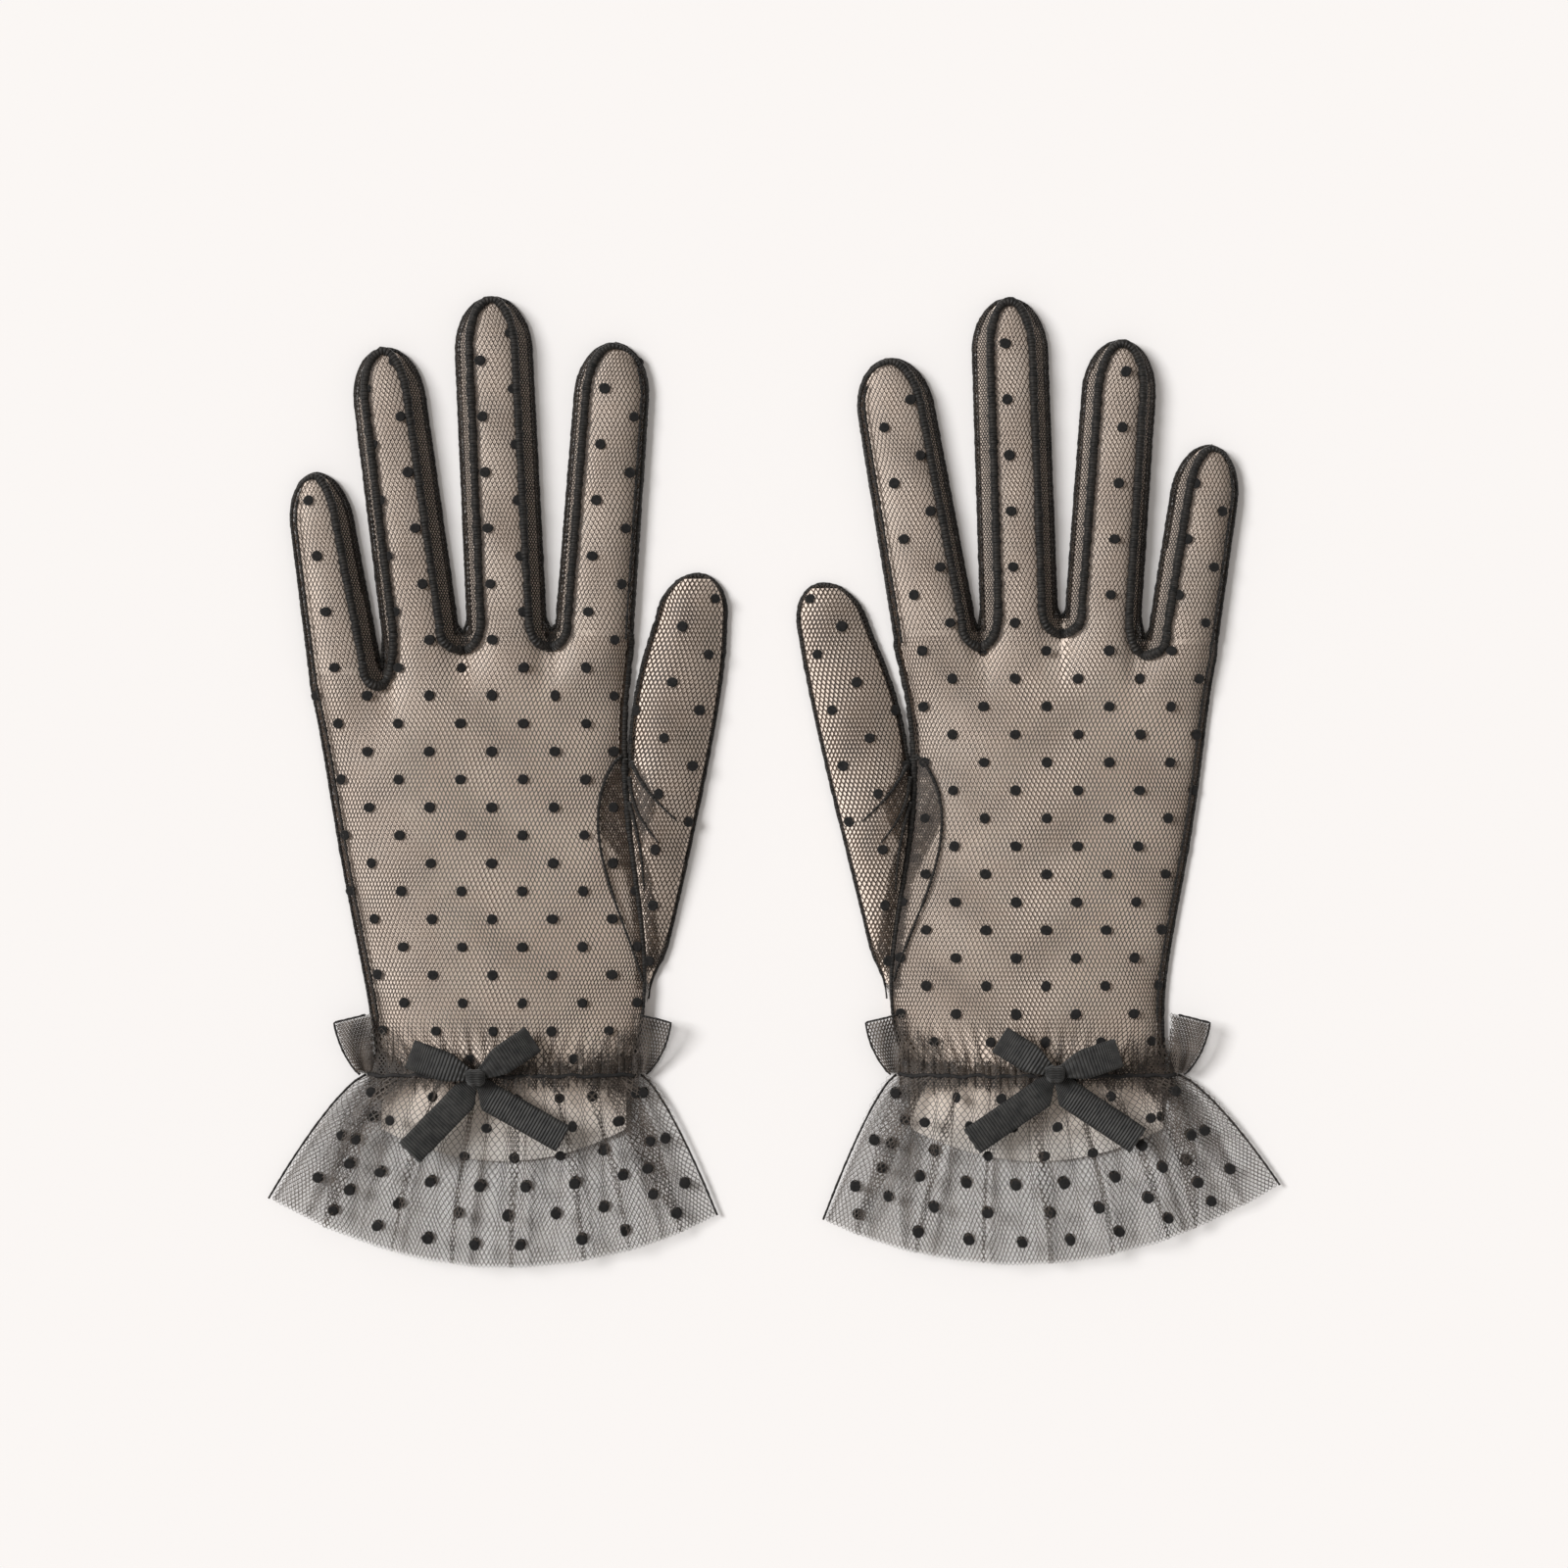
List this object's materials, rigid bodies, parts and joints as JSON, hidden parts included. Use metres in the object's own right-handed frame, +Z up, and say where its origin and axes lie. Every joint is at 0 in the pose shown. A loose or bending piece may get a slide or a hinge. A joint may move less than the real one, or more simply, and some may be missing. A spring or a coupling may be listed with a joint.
{
  "type": "dotted tulle gloves",
  "caption": "Pair of short dotted-tulle dress gloves, nude lining, gathered wrist with a flared ruffle cuff and a tied ribbon bow; fingers, thumbs and bow tails fold.",
  "frame": {"origin": "on the table under the middle of the pair's box", "axes": "+Z up from the table, +Y from the cuffs to the fingertips, +X from the left glove to the right glove"},
  "size_m": [0.2782, 0.2669, 0.0174],
  "materials": {
    "dotted_tulle": "black hexagonal net with flocked dots",
    "fourchette_tulle": "plain black net, doubled",
    "flounce_tulle": "black dotted net, gathered, raw hem",
    "nude_lining": "fine matt nude knit",
    "elastic": "covered elastic cord",
    "ribbon": "black ribbed satin ribbon"
  },
  "bodies": {
    "left_hand": {"left_hand_back": "dotted_tulle", "left_hand_palm": "dotted_tulle", "left_hand_lining": "nude_lining", "left_flounce": "flounce_tulle", "left_wrist_elastic": "elastic", "left_bow_loops": "ribbon", "left_bow_knot": "ribbon"},
    "left_little_finger": {"left_little_back": "dotted_tulle", "left_little_front": "dotted_tulle", "left_little_lining": "nude_lining", "left_little_fourchette_in": "fourchette_tulle"},
    "left_ring_finger": {"left_ring_back": "dotted_tulle", "left_ring_front": "dotted_tulle", "left_ring_lining": "nude_lining", "left_ring_fourchette_out": "fourchette_tulle", "left_ring_fourchette_in": "fourchette_tulle"},
    "left_middle_finger": {"left_middle_back": "dotted_tulle", "left_middle_front": "dotted_tulle", "left_middle_lining": "nude_lining", "left_middle_fourchette_out": "fourchette_tulle", "left_middle_fourchette_in": "fourchette_tulle"},
    "left_index_finger": {"left_index_back": "dotted_tulle", "left_index_front": "dotted_tulle", "left_index_lining": "nude_lining", "left_index_fourchette_out": "fourchette_tulle"},
    "left_thumb": {"left_thumb_back": "dotted_tulle", "left_thumb_front": "dotted_tulle", "left_thumb_lining": "nude_lining"},
    "left_bow_tail_out": {"left_bow_tail_out": "ribbon"},
    "left_bow_tail_in": {"left_bow_tail_in": "ribbon"},
    "right_hand": {"right_hand_back": "dotted_tulle", "right_hand_palm": "dotted_tulle", "right_hand_lining": "nude_lining", "right_flounce": "flounce_tulle", "right_wrist_elastic": "elastic", "right_bow_loops": "ribbon", "right_bow_knot": "ribbon"},
    "right_little_finger": {"right_little_back": "dotted_tulle", "right_little_front": "dotted_tulle", "right_little_lining": "nude_lining", "right_little_fourchette_in": "fourchette_tulle"},
    "right_ring_finger": {"right_ring_back": "dotted_tulle", "right_ring_front": "dotted_tulle", "right_ring_lining": "nude_lining", "right_ring_fourchette_out": "fourchette_tulle", "right_ring_fourchette_in": "fourchette_tulle"},
    "right_middle_finger": {"right_middle_back": "dotted_tulle", "right_middle_front": "dotted_tulle", "right_middle_lining": "nude_lining", "right_middle_fourchette_out": "fourchette_tulle", "right_middle_fourchette_in": "fourchette_tulle"},
    "right_index_finger": {"right_index_back": "dotted_tulle", "right_index_front": "dotted_tulle", "right_index_lining": "nude_lining", "right_index_fourchette_out": "fourchette_tulle"},
    "right_thumb": {"right_thumb_back": "dotted_tulle", "right_thumb_front": "dotted_tulle", "right_thumb_lining": "nude_lining"},
    "right_bow_tail_out": {"right_bow_tail_out": "ribbon"},
    "right_bow_tail_in": {"right_bow_tail_in": "ribbon"}
  },
  "joints": [
    {"name": "left_little_fold", "type": "hinge", "parent": "left_hand", "child": "left_little_finger", "pos_m": [-0.1179, 0.0295, 0.0086], "axis": [0.9877, 0.1564, 0], "range_deg": [0, 90]},
    {"name": "left_ring_fold", "type": "hinge", "parent": "left_hand", "child": "left_ring_finger", "pos_m": [-0.0972, 0.0395, 0.0086], "axis": [0.9914, 0.1305, 0], "range_deg": [0, 90]},
    {"name": "left_middle_fold", "type": "hinge", "parent": "left_hand", "child": "left_middle_finger", "pos_m": [-0.0736, 0.0424, 0.0086], "axis": [0.9989, 0.0471, 0], "range_deg": [0, 90]},
    {"name": "left_index_fold", "type": "hinge", "parent": "left_hand", "child": "left_index_finger", "pos_m": [-0.0496, 0.0404, 0.0086], "axis": [0.9973, -0.0732, 0], "range_deg": [0, 90]},
    {"name": "left_thumb_fold", "type": "hinge", "parent": "left_hand", "child": "left_thumb", "pos_m": [-0.03785, -0.0245, 0.006], "axis": [0.0965, -0.9953, 0], "range_deg": [0, 50]},
    {"name": "left_tail_out_lift", "type": "hinge", "parent": "left_hand", "child": "left_bow_tail_out", "pos_m": [-0.0848, -0.0864, 0.0134], "axis": [-0.7163, 0.6978, 0], "range_deg": [0, 80]},
    {"name": "left_tail_in_lift", "type": "hinge", "parent": "left_hand", "child": "left_bow_tail_in", "pos_m": [-0.0776, -0.0864, 0.0134], "axis": [-0.4975, -0.8675, 0], "range_deg": [0, 80]},
    {"name": "right_glove_slide", "type": "slide", "parent": "left_hand", "child": "right_hand", "axis": [1, 0, 0], "range_m": [0, 0.1]},
    {"name": "right_little_fold", "type": "hinge", "parent": "right_hand", "child": "right_little_finger", "pos_m": [0.1123, 0.038, 0.0086], "axis": [0.989, -0.1478, 0], "range_deg": [0, 90]},
    {"name": "right_ring_fold", "type": "hinge", "parent": "right_hand", "child": "right_ring_finger", "pos_m": [0.0904, 0.044, 0.0086], "axis": [0.9976, -0.0698, 0], "range_deg": [0, 90]},
    {"name": "right_middle_fold", "type": "hinge", "parent": "right_hand", "child": "right_middle_finger", "pos_m": [0.0674, 0.0454, 0.0086], "axis": [0.9994, 0.0349, 0], "range_deg": [0, 90]},
    {"name": "right_index_fold", "type": "hinge", "parent": "right_hand", "child": "right_index_finger", "pos_m": [0.0444, 0.0404, 0.0086], "axis": [0.9848, 0.1736, 0], "range_deg": [0, 90]},
    {"name": "right_thumb_fold", "type": "hinge", "parent": "right_hand", "child": "right_thumb", "pos_m": [0.0348, -0.0245, 0.006], "axis": [0.1101, 0.9939, 0], "range_deg": [0, 50]},
    {"name": "right_tail_out_lift", "type": "hinge", "parent": "right_hand", "child": "right_bow_tail_out", "pos_m": [0.0801, -0.0854, 0.0134], "axis": [-0.5547, -0.8321, 0], "range_deg": [0, 80]},
    {"name": "right_tail_in_lift", "type": "hinge", "parent": "right_hand", "child": "right_bow_tail_in", "pos_m": [0.0729, -0.0854, 0.0134], "axis": [-0.5732, 0.8194, 0], "range_deg": [0, 80]}
  ]
}
